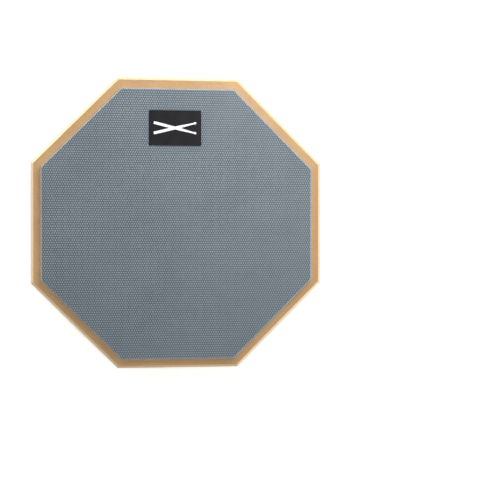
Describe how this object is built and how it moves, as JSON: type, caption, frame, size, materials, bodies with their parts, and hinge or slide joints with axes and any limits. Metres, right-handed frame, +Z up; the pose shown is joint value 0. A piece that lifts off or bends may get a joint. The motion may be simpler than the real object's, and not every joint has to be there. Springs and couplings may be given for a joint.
{
  "type": "drum practice pad",
  "caption": "Octagonal drum practice pad: a dotted rubber playing sheet on a chamfered fibreboard base, with a non-slip sponge disc and a threaded stand insert under it.",
  "frame": {"origin": "centre of the round lower face of the sponge disc, which the pad rests on; the insert's axis passes through it", "axes": "+Z up, out of the playing surface; +Y towards the label; +X to the right when the pad is seen from above with its label at the top"},
  "size_m": [0.24, 0.24, 0.0203],
  "materials": {
    "fibreboard": "satin",
    "playing_rubber": "matte",
    "adhesive": "satin",
    "sponge": "matte",
    "plated_insert": "satin",
    "label_black": "satin",
    "print_white": "matte"
  },
  "bodies": {
    "root": {"base_board": "fibreboard", "playing_surface": "playing_rubber", "playing_surface_adhesive": "adhesive", "base_pad": "sponge", "base_pad_adhesive": "adhesive", "threaded_insert": "plated_insert", "label": "label_black", "label_print": "print_white"}
  },
  "joints": []
}
